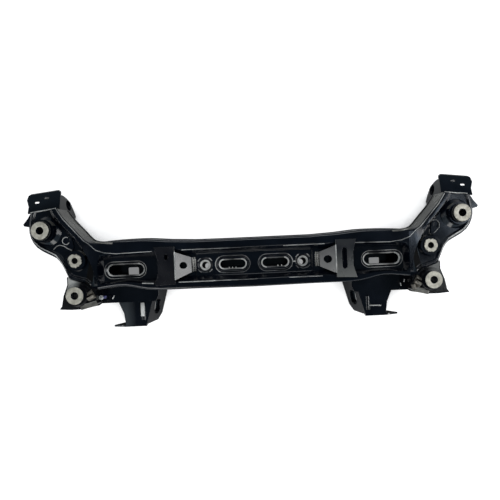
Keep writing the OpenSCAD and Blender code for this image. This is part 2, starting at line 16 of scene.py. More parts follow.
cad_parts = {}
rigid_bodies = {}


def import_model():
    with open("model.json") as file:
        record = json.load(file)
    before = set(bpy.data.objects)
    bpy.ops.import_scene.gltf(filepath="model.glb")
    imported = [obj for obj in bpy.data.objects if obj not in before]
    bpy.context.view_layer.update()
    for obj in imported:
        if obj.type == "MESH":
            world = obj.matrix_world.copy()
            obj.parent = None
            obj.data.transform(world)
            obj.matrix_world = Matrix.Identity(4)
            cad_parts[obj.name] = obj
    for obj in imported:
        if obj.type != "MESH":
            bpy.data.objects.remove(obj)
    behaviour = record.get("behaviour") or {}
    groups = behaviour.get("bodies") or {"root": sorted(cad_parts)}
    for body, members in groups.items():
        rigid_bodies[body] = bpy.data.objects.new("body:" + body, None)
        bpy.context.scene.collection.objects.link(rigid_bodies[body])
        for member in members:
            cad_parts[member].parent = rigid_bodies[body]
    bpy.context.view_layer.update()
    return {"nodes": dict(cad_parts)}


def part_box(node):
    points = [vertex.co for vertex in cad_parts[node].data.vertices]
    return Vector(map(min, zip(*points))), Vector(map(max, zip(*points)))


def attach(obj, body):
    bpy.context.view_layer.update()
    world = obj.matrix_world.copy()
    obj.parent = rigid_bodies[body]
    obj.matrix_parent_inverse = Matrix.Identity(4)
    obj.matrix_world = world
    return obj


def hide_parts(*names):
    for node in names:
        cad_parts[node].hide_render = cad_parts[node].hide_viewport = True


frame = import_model()

# %% [markdown]
# ## Camera
#
# The photograph looks straight down on the sleeve faces from about a metre above the ridges. Its place
# was solved from the six sleeve rings, whose spacing is known from the solids, and the lens from how much
# of the brackets' inner walls shows below the ridges.

# %% Place the camera
MM = 0.001
PHOTO_PX = 500
FOCAL_PX = 425.5
SENSOR_MM = 36.0
CAMERA_PLACE = (0, 6.71 * MM, 1124.1 * MM)
CAMERA_TURN_DEG = (-0.109, -0.665, -2.53)
CAMERA_SHIFT = -0.0168
VIEW_DEPTH_M = 20

camera_data = bpy.data.cameras.new("photo_camera")
camera_data.sensor_width = SENSOR_MM
camera_data.sensor_fit = "AUTO"
camera_data.lens = SENSOR_MM * FOCAL_PX / PHOTO_PX
camera_data.clip_end = VIEW_DEPTH_M
camera_data.shift_x = CAMERA_SHIFT
camera = bpy.data.objects.new("photo_camera", camera_data)
bpy.context.scene.collection.objects.link(camera)
camera.location = CAMERA_PLACE
camera.rotation_euler = [math.radians(a) for a in CAMERA_TURN_DEG]
bpy.context.scene.camera = camera
bpy.context.scene.view_settings.view_transform = "Standard"
print("lens", round(camera_data.lens, 2), "mm")

# %% [markdown]
# ## Helpers for modelling by hand
#
# Operators act on whatever is selected, so each step starts from an empty selection. These few helpers
# select one object or some of its corners or faces, copy a piece, round its edges, and finish it so that
# its place lies in its mesh.


# %% Selection helpers
def object_mode():
    """Leaves edit mode."""
    bpy.ops.object.mode_set(mode="OBJECT")


def only(piece):
    """Selects one object and nothing else."""
    if bpy.context.object and bpy.context.object.mode != "OBJECT":
        object_mode()
    bpy.ops.object.select_all(action="DESELECT")
    piece.select_set(True)
    bpy.context.view_layer.objects.active = piece


def edit_all(piece):
    """Opens a piece in edit mode with all of it selected."""
    only(piece)
    bpy.ops.object.mode_set(mode="EDIT")
    bpy.ops.mesh.select_all(action="SELECT")


def pick(piece, kind, flags):
    """Selects the flagged corners or faces of a piece, and stays in edit mode."""
    only(piece)
    bpy.ops.object.mode_set(mode="EDIT")
    bpy.ops.mesh.select_mode(type=kind)
    bpy.ops.mesh.select_all(action="DESELECT")
    object_mode()
    for part, flag in zip(piece.data.vertices if kind == "VERT" else piece.data.polygons, flags):
        part.select = flag
    bpy.ops.object.mode_set(mode="EDIT")


# %% Piece helpers
def apply_all(piece):
    """Applies a piece's modifiers in order."""
    only(piece)
    for modifier in list(piece.modifiers):
        bpy.ops.object.modifier_apply(modifier=modifier.name)


def round_edges(piece, width, segments, angle):
    """Adds a bevel to the edges that are sharper than an angle, in mm and degrees."""
    bevel = piece.modifiers.new("round edges", "BEVEL")
    bevel.width = width * MM
    bevel.segments = segments
    bevel.limit_method = "ANGLE"
    bevel.angle_limit = math.radians(angle)


def copied(piece, name):
    """A copy of a piece with a mesh of its own and without the frame's marks."""
    only(piece)
    bpy.ops.object.duplicate()
    copy = bpy.context.object
    copy.name = name
    for key in [k for k in copy.keys() if k.startswith("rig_")]:
        del copy[key]
    return copy


def smooth(piece, angle):
    """Shades a piece smoothly over all edges that are blunter than an angle, in degrees."""
    only(piece)
    bpy.ops.object.shade_smooth_by_angle(angle=math.radians(angle))


def paint_faces(piece, finishes, rule, *facts):
    """Adds finishes to a piece and gives each face the one whose number a rule tells from some facts."""
    for finish in finishes:
        piece.data.materials.append(finish)
    for face in piece.data.polygons:
        face.material_index = rule(face, *facts)


def settle(piece, slot, *nodes):
    """Puts a finished piece's place into its mesh and hangs it on the frame."""
    only(piece)
    bpy.ops.object.transform_apply(location=True, rotation=True, scale=True)
    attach(piece, "root")
    if nodes:
        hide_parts(*nodes)


# %% [markdown]
# ## Paint texture shared by the black finishes
#
# Dipped black paint is never a perfect mirror: it has a soft ripple, a finer grain, and patches where
# it lies a little thinner. One node group makes those from noise at three scales, so that each paint
# can use them in its own strength. Short helpers build the nodes that come up again and again.


# %% Node helpers
def add_node(tree, kind, **inputs):
    """Adds a node and sets its unlinked inputs by name."""
    made = tree.nodes.new(kind)
    for name, value in inputs.items():
        made.inputs[name.replace("_", " ")].default_value = value
    return made


def object_place(tree):
    """The place on the object, as coordinates."""
    return tree.nodes.new("ShaderNodeTexCoord").outputs["Object"]


def noise(tree, vector, scale, detail):
    """Noise on object coordinates, as a factor."""
    made = add_node(tree, "ShaderNodeTexNoise", Scale=scale, Detail=detail)
    tree.links.new(vector, made.inputs["Vector"])
    return made.outputs["Fac"]


def ramp(tree, source, low, high, to_low, to_high):
    """Maps a factor from one range to another."""
    made = tree.nodes.new("ShaderNodeMapRange")
    for name, value in (("From Min", low), ("From Max", high), ("To Min", to_low), ("To Max", to_high)):
        made.inputs[name].default_value = value
    tree.links.new(source, made.inputs["Value"])
    return made.outputs["Result"]


def combine(tree, operation, *sources):
    """Joins factors by one operation of the Math node."""
    made = tree.nodes.new("ShaderNodeMath")
    made.operation = operation
    for source, socket in zip(sources, made.inputs):
        if isinstance(source, float):
            socket.default_value = source
        else:
            tree.links.new(source, socket)
    return made.outputs[0]


def colour_mix(tree, amount, low, high):
    """Mixes two colours, each a plain one or a socket, by a factor."""
    made = tree.nodes.new("ShaderNodeMix")
    made.data_type = "RGBA"
    tree.links.new(amount, made.inputs[0])
    for colour, socket in ((low, made.inputs[6]), (high, made.inputs[7])):
        if isinstance(colour, tuple):
            socket.default_value = (*colour, 1)
        else:
            tree.links.new(colour, socket)
    return made.outputs[2]


def add_bump(tree, shader, height, strength, distance):
    """Lets a height upset the shader's normal."""
    bump = add_node(tree, "ShaderNodeBump", Strength=strength, Distance=distance)
    tree.links.new(height, bump.inputs["Height"])
    tree.links.new(bump.outputs["Normal"], shader.inputs["Normal"])


def new_finish(name):
    """A new material, with its tree and its main shader."""
    made = bpy.data.materials.new(name)
    made.use_nodes = True
    return made, made.node_tree, made.node_tree.nodes["Principled BSDF"]


# %% Paint texture group
PATCH_SCALE = 22
PEEL_SCALE = 420
SWELL_SCALE = 60
PEEL_SHARE = 0.35

paint_texture = bpy.data.node_groups.new("paint_texture", "ShaderNodeTree")
for socket in ("Patch", "Ripple"):
    paint_texture.interface.new_socket(socket, in_out="OUTPUT", socket_type="NodeSocketFloat")
place = object_place(paint_texture)
result = paint_texture.nodes.new("NodeGroupOutput")
patch = noise(paint_texture, place, PATCH_SCALE, 4)
peel = noise(paint_texture, place, PEEL_SCALE, 2)
swell = noise(paint_texture, place, SWELL_SCALE, 1)
ripple = combine(paint_texture, "MULTIPLY_ADD", peel, PEEL_SHARE, swell)
paint_texture.links.new(patch, result.inputs["Patch"])
paint_texture.links.new(ripple, result.inputs["Ripple"])
print("paint texture:", len(paint_texture.nodes), "nodes")

# %% [markdown]
# ## The finishes
#
# Most of the part wears gloss black dip paint. The saddles have a duller coat; on the right one the colour
# turns grey towards the rear, a painted sheen. The rear mounts turn grey near their outer front corners, a
# painted glint, and the left rear bracket turns grey along its outer side, a painted sheen. The lips, folds
# and raised lines wear pale paints that stand for their highlights, and the arms' front walls wear a pale
# paint that stands for the floor
# mirrored in them: painted highlights and a painted reflection. Faces that should stay dark wear a near black
# paint with hardly any reflection, a painted shade. The weld beads are painted too, but scale under the paint
# leaves them rougher.


# %% Black paints
PATCH_TO_COLOUR = (0.35, 0.7)
PATCH_TO_GLOSS = (0.3, 0.7)
RIPPLE_M = 0.0004
PAINT_IOR = 1.5


def black_paint(name, deep, thin, rough, ripple, painted_sheen=None):
    """A black paint that changes from patch to patch, with an optional painted sheen: a paler colour inside
    spans along some axes.
    """
    made, tree, shader = new_finish(name)
    group = tree.nodes.new("ShaderNodeGroup")
    group.node_tree = paint_texture
    patch = group.outputs["Patch"]
    colour = colour_mix(tree, ramp(tree, patch, *PATCH_TO_COLOUR, 0, 1), deep, thin)
    if painted_sheen:
        place = tree.nodes.new("ShaderNodeSeparateXYZ")
        tree.links.new(object_place(tree), place.inputs[0])
        amounts = [ramp(tree, place.outputs[axis], start * MM, stop * MM, 0, 1)
                   for axis, start, stop in painted_sheen["spans"]]
        while len(amounts) > 1:
            amounts.append(combine(tree, "MULTIPLY", amounts.pop(), amounts.pop()))
        colour = colour_mix(tree, amounts[0], colour, painted_sheen["colour"])
    tree.links.new(colour, shader.inputs["Base Color"])
    tree.links.new(ramp(tree, patch, *PATCH_TO_GLOSS, *rough), shader.inputs["Roughness"])
    add_bump(tree, shader, group.outputs["Ripple"], ripple, RIPPLE_M)
    shader.inputs["IOR"].default_value = PAINT_IOR
    return made


GLOSS = {"deep": (0.0006, 0.0012, 0.003), "thin": (0.0015, 0.003, 0.0065), "rough": (0.13, 0.2),
         "ripple": 0.05}
gloss_black = black_paint("gloss_black_paint", **GLOSS)
# Painted sheen: the left rear bracket turns grey towards its outer side, standing for light mirrored there.
hood_sheen_patch = {"colour": (0.032, 0.037, 0.041), "spans": [("X", -300, -322)]}
sheened_hood = black_paint("sheened_hood_paint", **GLOSS, painted_sheen=hood_sheen_patch)
saddle_left = black_paint("saddle_paint_left", (0.003, 0.003, 0.005), (0.008, 0.008, 0.01), (0.22, 0.3), 0.15)
# Painted sheen: the right saddle turns grey towards the rear, standing for light mirrored in its plate.
saddle_sheen_patch = {"colour": (0.115, 0.117, 0.11), "spans": [("Y", 0, -75)]}
saddle_right = black_paint("saddle_paint_right", (0.006, 0.007, 0.01), (0.012, 0.013, 0.015), (0.26, 0.36),
                           0.15, saddle_sheen_patch)
# Painted glint: each rear mount turns grey near its outer front corner, paler on the left, standing for light
# mirrored in its top.
glint_mount_paint = {}
for side, sign, grey in (("left", -1, 0.36), ("right", 1, 0.13)):
    mount_glint_patch = {"colour": (grey, grey, grey * 0.95), "spans": [("X", sign * 412, sign * 430), ("Y", -84, -56)]}
    glint_mount_paint[side] = black_paint(f"glint_mount_paint_{side}", (0.002, 0.002, 0.003), (0.004, 0.004, 0.005),
                                    (0.2, 0.3), 0.08, mount_glint_patch)
# Painted shade: a near black paint with hardly any reflection, for faces that should stay dark.
shade_black = black_paint("shade_black_paint", (0.002, 0.002, 0.002), (0.005, 0.005, 0.005), (0.6, 0.7), 0.1)
shade_black.node_tree.nodes["Principled BSDF"].inputs["Specular IOR Level"].default_value = 0.05
# Painted highlights: pale paints for the lips, folds and raised lines, standing for the bright lines of light
# along them.
lip_highlight_paint = black_paint("lip_highlight_paint", (0.03, 0.03, 0.03), (0.4, 0.397, 0.38), (0.2, 0.32), 0.12)
bright_highlight = black_paint("bright_highlight_paint", (0.22, 0.22, 0.21), (0.66, 0.655, 0.63), (0.22, 0.34), 0.1)
dim_highlight = black_paint("dim_highlight_paint", (0.012, 0.012, 0.013), (0.14, 0.14, 0.14), (0.2, 0.32), 0.12)
# Painted reflection: a pale paint for the arms' steep front walls, standing for the floor mirrored in them.
wall_reflection_paint = black_paint("wall_reflection_paint", (0.045, 0.043, 0.038), (0.15, 0.145, 0.128), (0.2, 0.3), 0.06)
weld_scale = black_paint("weld_scale", (0.03, 0.03, 0.028), (0.42, 0.41, 0.38), (0.25, 0.4), 0.3)
weld_black = black_paint("weld_paint", (0.006, 0.006, 0.006), (0.03, 0.028, 0.025), (0.2, 0.34), 0.3)
print("paints:", gloss_black.name, saddle_left.name, saddle_right.name, weld_black.name)

# %% [markdown]
# Turned faces show rings round the sleeve's own axis. A Mapping node moves the pattern's centre to each
# sleeve, so each one has its own copy of the finish. The paint was wiped or ground off the face by hand, so
# its edge is ragged: the distance from the axis, upset by noise, tells bare steel from paint.


# %% Bare turned steel
STEEL_DARK = (0.3, 0.28, 0.23)
STEEL_LIGHT = (0.5, 0.475, 0.405)
SLEEVE_PAINT = (0.006, 0.006, 0.006)
RING_SCALE = 260
RING_ROUGH = (0.42, 0.55)
RING_BUMP = (0.15, 0.0002)
STAIN_SCALE = 120
SPOT_SPAN = (0.35, 0.65)
RAG_SCALE = 160
RAG_SPAN = (0.32, 0.68)
EDGE_BLUR_MM = 0.3
BARE_METAL = 0.25


def turned_steel(name, centre, edge, rag_mm):
    """Bare steel with tool rings round a vertical axis, black again beyond a ragged edge radius in mm."""
    made, tree, shader = new_finish(name)
    place = object_place(tree)
    shift = add_node(tree, "ShaderNodeMapping", Location=(-centre[0], -centre[1], 0), Scale=(1, 1, 0))
    tree.links.new(place, shift.inputs["Vector"])
    rings = add_node(tree, "ShaderNodeTexWave", Scale=RING_SCALE, Distortion=0.6, Detail=2)
    rings.wave_type = "RINGS"
    rings.rings_direction = "Z"
    tree.links.new(shift.outputs["Vector"], rings.inputs["Vector"])
    stain = ramp(tree, noise(tree, place, STAIN_SCALE, 5), *SPOT_SPAN, 0, 1)
    steel = colour_mix(tree, stain, STEEL_DARK, STEEL_LIGHT)
    radius = tree.nodes.new("ShaderNodeVectorMath")
    radius.operation = "LENGTH"
    tree.links.new(shift.outputs["Vector"], radius.inputs[0])
    rag = ramp(tree, noise(tree, place, RAG_SCALE, 3), *RAG_SPAN, -rag_mm * MM, rag_mm * MM)
    reach = combine(tree, "ADD", radius.outputs["Value"], rag)
    bare = ramp(tree, reach, (edge - EDGE_BLUR_MM) * MM, (edge + EDGE_BLUR_MM) * MM, 1, 0)
    tree.links.new(colour_mix(tree, bare, SLEEVE_PAINT, steel), shader.inputs["Base Color"])
    tree.links.new(ramp(tree, rings.outputs["Fac"], 0, 1, *RING_ROUGH), shader.inputs["Roughness"])
    tree.links.new(ramp(tree, bare, 0, 1, 0, BARE_METAL), shader.inputs["Metallic"])
    add_bump(tree, shader, rings.outputs["Fac"], *RING_BUMP)
    return made


# %% [markdown]
# ## The pressings
#
# Each pressing is a copy of its solid: the loose triangles are merged into one skin, flat faces are joined,
# sharp edges get a small bend radius, and the shading runs smoothly over the drawn curves. Weighted normals
# keep the wide flats flat up to their edges. It could be modelled from a subdivided cage instead, but the
# copy keeps every edge where the welded neighbours need it.


# %% Dress the pressings and plates
MERGE_MM = 0.02
FLAT_DEG = 0.4
BEND_STEPS = 2
FLAT_WEIGHT = 50


def dressed(node, material, width=0.8, angle=38):
    """A smooth, slightly rounded copy of a solid."""
    source = frame["nodes"][node]
    source.hide_set(False)
    piece = copied(source, node + "_skin")
    bpy.ops.object.parent_clear(type="CLEAR_KEEP_TRANSFORM")
    edit_all(piece)
    bpy.ops.mesh.remove_doubles(threshold=MERGE_MM * MM)
    bpy.ops.mesh.dissolve_limited(angle_limit=math.radians(FLAT_DEG))
    object_mode()
    round_edges(piece, width, BEND_STEPS, angle)
    apply_all(piece)
    smooth(piece, angle)
    weight = piece.modifiers.new("flat faces stay flat", "WEIGHTED_NORMAL")
    weight.mode = "FACE_AREA"
    weight.weight = FLAT_WEIGHT
    weight.keep_sharp = True
    apply_all(piece)
    piece.data.materials.clear()
    piece.data.materials.append(material)
    settle(piece, "black_paint", node)
    return piece


# %% [markdown]
# Some faces of a pressing wear another paint than the rest. They are told apart by the way they look and by
# where they stand: the brackets' forward faces and the small step at an arm's root get the near black paint
# with hardly any reflection, a painted shade, and the arms' steep front walls get a pale paint, a painted
# reflection of the floor.


# %% Paint the pressings
STEP_FROM_X = 380 * MM
STEP_TO_X = 400 * MM
STEP_FRONT_Y = 10 * MM
STEP_TOP_Z = 112 * MM


def bracket_paint(face):
    """Tells a rear bracket's forward faces from the rest."""
    return 1 if face.normal.y > 0.8 else 0


def arm_paint(face):
    """Tells an arm's front walls and its root step from the rest."""
    if face.normal.y > 0.45 and abs(face.normal.x) > 0.4 and face.normal.z < 0.5:
        return 1
    leans = 0.15 < abs(face.normal.x) < 0.5
    x, y, z = face.center
    return 2 if leans and STEP_FROM_X < abs(x) < STEP_TO_X and y < STEP_FRONT_Y and z < STEP_TOP_Z else 0


for node in sorted(n for n in frame["nodes"] if not n.endswith(("sleeve", "saddle", "line_clip"))):
    # The rear mounts' paint holds a painted glint, and the left rear bracket's paint a painted sheen.
    finish = glint_mount_paint[node.split("_")[0]] if node.endswith("rear_mount") else gloss_black
    made = dressed(node, sheened_hood if node == "left_rear_bracket" else finish)
    if node.endswith("rear_bracket"):
        # The rear brackets' forward faces get the painted shade.
        paint_faces(made, [shade_black], bracket_paint)
    if node.endswith("arm_shell"):
        # The front walls get the painted reflection, and the root step gets the painted shade.
        paint_faces(made, [wall_reflection_paint, shade_black], arm_paint)
    print(made.name, len(made.data.polygons), "faces")

# %% [markdown]
# The lower pressing has a square access window under each end slot. On the real part they stand a little
# further out than in the solid, and the right one is shallower, so their edges are picked by place and moved.

# %% Move the access windows
WINDOW_X = 298
WINDOW_Y = -35.2
WINDOW_HALF = (14.5, 11.5)

lower = bpy.data.objects["beam_lower_shell_skin"]
for side, out, depth in ((1, 6.6, 0.76), (-1, 6.2, 0.95)):
    offsets = [(v.co.x / MM - side * WINDOW_X, v.co.y / MM - WINDOW_Y) for v in lower.data.vertices]
    inside = [abs(x) < WINDOW_HALF[0] and abs(y) < WINDOW_HALF[1] for x, y in offsets]
    pick(lower, "VERT", inside)
    bpy.ops.transform.translate(value=(side * out * MM, 0, 0))
    bpy.ops.transform.resize(value=(1, depth, 1))
    object_mode()
    print("access window", side, sum(inside), "corners moved")

# %% [markdown]
# The saddles are folded from strip, with a wide bend where the tongue leaves the plate. That bend shows as a
# bright line, so their edges get a larger radius, from a smaller fold angle on. Both stand a few millimetres
# to the right of where a mirrored pair would be, as they do on the real part.


# %% Dress the saddles
SADDLE_SHIFT = 4
SADDLE_BEND_MM = 2.2
SADDLE_BEND_DEG = 25
FOLD_X = 189
FOLD_HALF = 5


def fold_paint(face, fold):
    """Tells the bend at the tongue from the rest of a saddle."""
    bent = 0.03 < abs(face.normal.x) < 0.49 and face.normal.z > 0.8
    return 1 if bent and abs(face.center.x - fold) < FOLD_HALF * MM else 0


for node, finish, side in (("left_saddle", saddle_left, -1), ("right_saddle", saddle_right, 1)):
    made = dressed(node, finish, SADDLE_BEND_MM, SADDLE_BEND_DEG)
    edit_all(made)
    bpy.ops.transform.translate(value=(SADDLE_SHIFT * MM, 0, 0))
    object_mode()
    # The faces of the bend get the pale lip paint, a painted highlight for the bright line along the fold.
    paint_faces(made, [lip_highlight_paint], fold_paint, (side * FOLD_X + SADDLE_SHIFT) * MM)
    print(made.name, len(made.data.polygons), "faces")

# %% [markdown]
# ## The sleeves
#
# The sleeves are painted with the rest, and only their ends are turned bare, so that they sit square on the
# body. Each sleeve carries the paint, and the faces at its upper end get the turned finish. On the small
# brace sleeves the paint runs onto the face, so the bare steel ends inside the outer edge.


# %% Dress the sleeves
BODY_SLEEVE = {"bore": 8.5, "bare_past_edge": 1, "rag": 1.1}
BRACE_SLEEVE = {"bore": 6.75, "bare_past_edge": -1.8, "rag": 2.3}
SLEEVE_EDGE_MM = 0.5
END_DEPTH_MM = 1.4


def end_paint(face, piece, centre, top, bore):
    """Tells the upper end, outside the bore's own edge, from the rest of a sleeve."""
    corners = [piece.data.vertices[i].co for i in face.vertices]
    reach = sum(math.hypot(c.x - centre.x, c.y - centre.y) for c in corners) / len(corners)
    at_end = face.center.z > top - END_DEPTH_MM * MM and face.normal.z > 0.2
    return 1 if at_end and reach > bore + SLEEVE_EDGE_MM * MM else 0


for node in sorted(n for n in frame["nodes"] if n.endswith("sleeve")):
    low, high = (Vector(c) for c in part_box(node))
    centre = (low + high) / 2
    outer = (high.x - low.x) / 2
    kind = BRACE_SLEEVE if "brace" in node else BODY_SLEEVE
    made = dressed(node, gloss_black, SLEEVE_EDGE_MM)
    steel = turned_steel(node + "_steel", centre, outer / MM + kind["bare_past_edge"], kind["rag"])
    paint_faces(made, [steel], end_paint, made, centre, high.z, kind["bore"] * MM)
    print(made.name, "outer radius", round(outer / MM, 1), "top", round(high.z / MM, 1))

# %% [markdown]
# ## Lips of the openings
#
# Each opening in the channel ends in a lip that turns down into the hole. Its pale paint is a painted
# highlight for the bright rim round the hole, brightest at the round ends. A lip starts as a circle of edges:
# two extrusions shrink it inwards and down, then its halves are pulled apart by the slot's straight length,
# which keeps its width even all round. Each is made on the right and mirrored.


# %% Lips
LIP_CORNERS = 64
LIP_SHEET_MM = 1.2
LIP_EDGE_MM = 0.35
LIP_EDGE_DEG = 50
LIP_SMOOTH_DEG = 35
LIP_FALL = (0.42, 0.58)


def lip(name, centre, straight, outer, inner, drop, out=(0, 0, 1), along=(1, 0, 0), material=lip_highlight_paint):
    """A funnel shaped lip round an opening, in mm, with the way it faces and the way its length runs."""
    bpy.ops.object.select_all(action="DESELECT")
    bpy.ops.mesh.primitive_circle_add(vertices=LIP_CORNERS, radius=outer * MM, location=(0, 0, 0))
    piece = bpy.context.object
    piece.name = name
    edit_all(piece)
    middle = (outer + inner) / 2
    for size, before, fall in ((middle, outer, LIP_FALL[0]), (inner, middle, LIP_FALL[1])):
        bpy.ops.mesh.extrude_region_move(TRANSFORM_OT_translate={"value": (0, 0, -drop * fall * MM)})
        bpy.ops.transform.resize(value=(size / before, size / before, 1))
    object_mode()
    right_half = [vertex.co.x > 1e-6 for vertex in piece.data.vertices]
    if straight:
        for side in (1, -1):
            pick(piece, "VERT", [right == (side > 0) for right in right_half])
            bpy.ops.transform.translate(value=(side * straight / 2 * MM, 0, 0))
    edit_all(piece)
    bpy.ops.mesh.normals_make_consistent(inside=False)
    object_mode()
    if piece.data.polygons[0].normal.z < 0:
        piece.data.flip_normals()
    sheet = piece.modifiers.new("sheet", "SOLIDIFY")
    sheet.thickness = LIP_SHEET_MM * MM
    sheet.offset = -1
    round_edges(piece, LIP_EDGE_MM, BEND_STEPS, LIP_EDGE_DEG)
    apply_all(piece)
    smooth(piece, LIP_SMOOTH_DEG)
    piece.data.materials.append(material)
    face, length = Vector(out).normalized(), Vector(along).normalized()
    piece.rotation_euler = Matrix((length, face.cross(length), face)).transposed().to_euler()
    piece.location = [v * MM for v in centre]
    settle(piece, "black_paint")
    return piece


def mirrored(piece, name, slot="black_paint", nodes=(), shift=0):
    """A mirrored copy of a piece on the other side of the part, moved along X by a shift in mm."""
    copy = copied(piece, name)
    copy.scale.x = -1
    bpy.ops.object.transform_apply(location=False, rotation=False, scale=True)
    edit_all(copy)
    bpy.ops.mesh.normals_make_consistent(inside=False)
    bpy.ops.transform.translate(value=(shift * MM, 0, 0))
    object_mode()
    settle(copy, slot, *nodes)
    return copy


def side_paint(face, middle, straight):
    """Tells a lip's straight sides from its round ends."""
    return 1 if abs(face.center.x - middle) < straight / 2 else 0


# %% Lips along the beam
ORIGIN_Y = 21.209
ROUND_X = 117
SLOT_X, SLOT_STRAIGHT = 51, 42
END_X, END_STRAIGHT = 308, 60
SLOT_Y = -5 - ORIGIN_Y
END_Y = -8 - ORIGIN_Y
LIP_TUCK = 1.2
LIP_DROP = 2.9

# Painted highlights: the round ends wear the bright highlight paint and the straights a dimmer one, dimmest
# on the right middle slot.
for name, x, y, z, straight, hole, wide in (
        ("round_lip", ROUND_X, SLOT_Y, 103, 0, 9, 3.2),
        ("slot_lip", SLOT_X, SLOT_Y, 103, SLOT_STRAIGHT, 10.5, 1.5),
        ("end_lip", END_X, END_Y, 99, END_STRAIGHT, 13, 1.7)):
    made = lip("right_" + name, (x, y, z), straight, hole + wide, hole - LIP_TUCK, LIP_DROP,
               material=bright_highlight)
    paint_faces(made, [lip_highlight_paint], side_paint, x * MM, straight * MM)
    mirrored(made, "left_" + name)
    if name == "slot_lip":
        made.data.materials[1] = dim_highlight
    print(name, len(made.data.polygons), "faces each")

# %% [markdown]
# The windows in the side plates get deep collars, drawn inwards, which stiffen the plates. They also stand
# for
# shade: from above they close the view through to the floor, so the windows look dark, a dark sheet put where
# there is only shade.

# %% Window collars
COLLAR_DEPTH = 13

rear_collar = lip("right_rear_collar", (253.7, -129.7, 26.9), 16, 12.3, 10.6, COLLAR_DEPTH,
                  (-0.897, -0.234, 0.375), (0.171, -0.966, -0.193), gloss_black)
front_collar = lip("right_front_collar", (461.3, 136.3, 49), 0, 13.3, 11.6, COLLAR_DEPTH,
                   (-0.9933, 0.1152, 0), (0.1152, 0.9933, 0), gloss_black)
mirrored(rear_collar, "left_rear_collar")
mirrored(front_collar, "left_front_collar")
print("collars", len(rear_collar.data.polygons), len(front_collar.data.polygons), "faces")

# %% [markdown]
# ## Weld beads
#
# A weld is laid as a row of drops that melt into each other. One flattened ball is copied along the seam
# with a little wander, the copies are joined, and a voxel remesh fuses them into one rippled bead. A swept
# profile would be quicker, but it would lack the ripples.


# %% Beads
DROP_HEIGHT = 0.7
DROP_STEP = 0.9
FUSE_SHARE = 0.33
WANDER_PHASE = (2.3, 1.7)


def spread(points, step):
    """Places along a line of points, a step apart, in mm."""
    places = []
    for start, end in zip(points, points[1:]):
        start, end = Vector(start), Vector(end)
        count = max(1, round((end - start).length / step))
        places += [start.lerp(end, k / count) for k in range(count)]
    return places + [Vector(points[-1])]


def bead(name, points, radius, material, wander=0.25):
    """A rippled weld bead along a line of points, in mm."""
    bpy.ops.object.select_all(action="DESELECT")
    bpy.ops.mesh.primitive_uv_sphere_add(segments=12, ring_count=8, radius=radius * MM)
    drop = bpy.context.object
    drop.name = name
    edit_all(drop)
    bpy.ops.transform.resize(value=(1, 1, DROP_HEIGHT))
    object_mode()
    drops = [drop]
    stray = wander * radius * MM
    by_drop, by_axis = WANDER_PHASE
    for k, place in enumerate(spread(points, radius * DROP_STEP)):
        if k:
            only(drop)
            bpy.ops.object.duplicate()
            drops.append(bpy.context.object)
        drops[-1].location = [c * MM + stray * math.sin(by_drop * k + by_axis * i)
                              for i, c in enumerate(place)]
    only(drop)
    for each in drops:
        each.select_set(True)
    bpy.ops.object.join()
    fuse = drop.modifiers.new("fuse", "REMESH")
    fuse.mode = "VOXEL"
    fuse.voxel_size = radius * FUSE_SHARE * MM
    apply_all(drop)
    bpy.ops.object.shade_smooth()
    drop.data.materials.append(material)
    settle(drop, "black_paint")
    return drop


def arc(centre, radius, start, stop, count=24):
    """Points along part of a level circle, in mm and degrees."""
    x, y, z = centre
    turns = [math.radians(start + (stop - start) * k / count) for k in range(count + 1)]
    return [(x + radius * math.cos(a), y + radius * math.sin(a), z) for a in turns]


TONGUE_END = 152 + SADDLE_SHIFT
for k, x in enumerate((TONGUE_END - 1.5, TONGUE_END - 7)):
    seam = [(x, -9, 103.6), (x - 1, -24, 103.8), (x, -39, 103.6)]
    made = bead(f"right_tongue_weld_{k}", seam, 2.2, weld_scale, 0.5)
    mirrored(made, f"left_tongue_weld_{k}", shift=2 * SADDLE_SHIFT)
for name, centre, radius, thick in (
        ("rear_weld", (421, -83.7, 108.8), 22.4, 1.5),
        ("front_weld", (490, 70.8, 133), 21.6, 1.2),
        ("brace_weld", (422, -2.2, 111), 17.4, 1.2)):
    made = bead("right_" + name, arc(centre, radius, 0, 360), thick, weld_black)
    mirrored(made, "left_" + name)
    print(name, len(made.data.polygons), "faces each")

# %% [markdown]
# ## Raised highlight lines
#
# Narrow raised lines stand for the bright lines of light along edges and folds: an open ring and a curved
# edge near the brace sleeve, lips at the front brackets, the edges of the channel and the folds of the
# saddles. Their pale paint is a painted highlight. A row of balls would be too rough for them, so each is a
# path curve with a round bevel, made into a mesh. First those that differ on each side.


# %% Lines of one side only
LINE_MERGE_MM = 0.01
LINE_SMOOTH_DEG = 50


def raised_line(name, points, radius, material, closed=False):
    """A smooth raised line along points, in mm."""
    bpy.ops.object.select_all(action="DESELECT")
    bpy.ops.curve.primitive_nurbs_path_add(location=(0, 0, 0))
    piece = bpy.context.object
    piece.name = name
    piece.data.splines.clear()
    path = piece.data.splines.new("POLY")
    path.points.add(len(points) - 1)
    for spot, place in zip(path.points, points):
        spot.co = (*(c * MM for c in place), 1)
    path.use_cyclic_u = closed
    piece.data.dimensions = "3D"
    piece.data.bevel_depth = radius * MM
    piece.data.bevel_resolution = 2
    piece.data.use_fill_caps = not closed
    bpy.ops.object.convert(target="MESH")
    edit_all(piece)
    bpy.ops.mesh.remove_doubles(threshold=LINE_MERGE_MM * MM)
    bpy.ops.mesh.normals_make_consistent(inside=False)
    object_mode()
    smooth(piece, LINE_SMOOTH_DEG)
    piece.data.materials.clear()
    piece.data.materials.append(material)
    settle(piece, "black_paint")
    return piece


